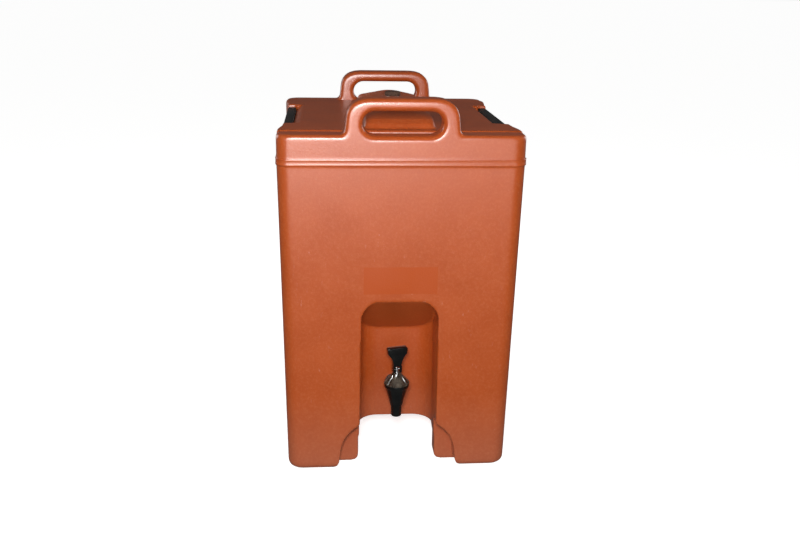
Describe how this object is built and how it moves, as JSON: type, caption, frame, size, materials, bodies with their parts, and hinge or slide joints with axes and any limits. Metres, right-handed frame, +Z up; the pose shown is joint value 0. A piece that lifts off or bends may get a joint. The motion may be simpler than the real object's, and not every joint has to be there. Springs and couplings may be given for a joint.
{
  "type": "insulated drinks dispenser",
  "caption": "Insulated upright drinks dispenser with a lift-off latched lid, vent cap, loop handles, short legs and a lever tap in a front recess.",
  "frame": {"origin": "on the ground, under the centre of the body's footprint", "axes": "+X to the right seen from the tap side, +Y to the rear, +Z up; the tap faces -Y"},
  "size_m": [0.4214, 0.5234, 0.6775],
  "materials": {
    "terracotta_polyethylene": "satin",
    "tank_polyethylene": "satin",
    "lid_polyethylene": "satin",
    "black_nylon": "satin",
    "black_gloss_plastic": "gloss",
    "foam": "matte",
    "silicone": "satin",
    "black_rubber": "matte",
    "stainless_steel": "satin"
  },
  "bodies": {
    "tub": {"outer_shell": "terracotta_polyethylene", "inner_liner": "tank_polyethylene", "foam_insulation": "foam", "foam_port_plug": "black_nylon", "latch_bracket_left": "black_nylon", "latch_bracket_right": "black_nylon", "latch_pin_left": "stainless_steel", "latch_pin_right": "stainless_steel", "bracket_screw_left_front": "stainless_steel", "bracket_screw_left_rear": "stainless_steel", "bracket_screw_right_front": "stainless_steel", "bracket_screw_right_rear": "stainless_steel", "tap_body": "black_gloss_plastic", "tap_bonnet": "black_gloss_plastic", "tap_washer_outer": "black_rubber", "tap_washer_inner": "silicone", "tap_lock_nut": "black_nylon"},
    "lid": {"lid_shell": "lid_polyethylene", "lid_foam": "foam", "lid_pan": "tank_polyethylene", "lid_gasket": "silicone"},
    "cap_thread": {"vent_seal": "silicone"},
    "cap": {"vent_cap": "black_nylon"},
    "latch_l": {"latch_left": "black_nylon"},
    "latch_r": {"latch_right": "black_nylon"},
    "stem": {"tap_stem": "stainless_steel", "tap_seat_cup": "silicone"},
    "lever": {"tap_lever": "black_gloss_plastic", "tap_lever_pin": "stainless_steel"}
  },
  "joints": [
    {"name": "lid_lift", "type": "slide", "parent": "tub", "child": "lid", "axis": [0, 0, 1], "range_m": [0, 0.15]},
    {"name": "latch_left_swing", "type": "hinge", "parent": "tub", "child": "latch_l", "pos_m": [-0.2002, 0, 0.546], "axis": [0, -1, 0], "range_deg": [0, 105]},
    {"name": "latch_right_swing", "type": "hinge", "parent": "tub", "child": "latch_r", "pos_m": [0.2002, 0, 0.546], "axis": [0, 1, 0], "range_deg": [0, 105]},
    {"name": "cap_rise", "type": "slide", "parent": "lid", "child": "cap_thread", "axis": [0, 0, 1], "range_m": [0, 0.006]},
    {"name": "cap_turn", "type": "hinge", "parent": "cap_thread", "child": "cap", "pos_m": [0, 0, 0.65], "axis": [0, 0, 1], "range_deg": [0, 721]},
    {"name": "stem_rise", "type": "slide", "parent": "tub", "child": "stem", "axis": [0, 0, 1], "range_m": [0, 0.0037]},
    {"name": "lever_pull", "type": "hinge", "parent": "stem", "child": "lever", "pos_m": [0, -0.2055, 0.179], "axis": [0.9703, 0.2419, 0], "range_deg": [0, 38], "stiffness_Nm_per_rad": 0.3}
  ],
  "couplings": [
    {"joint": "cap_turn", "follows": "cap_rise", "rad_per_m": 2094.4},
    {"joint": "stem_rise", "follows": "lever_pull", "m_per_rad": 0.0055}
  ]
}
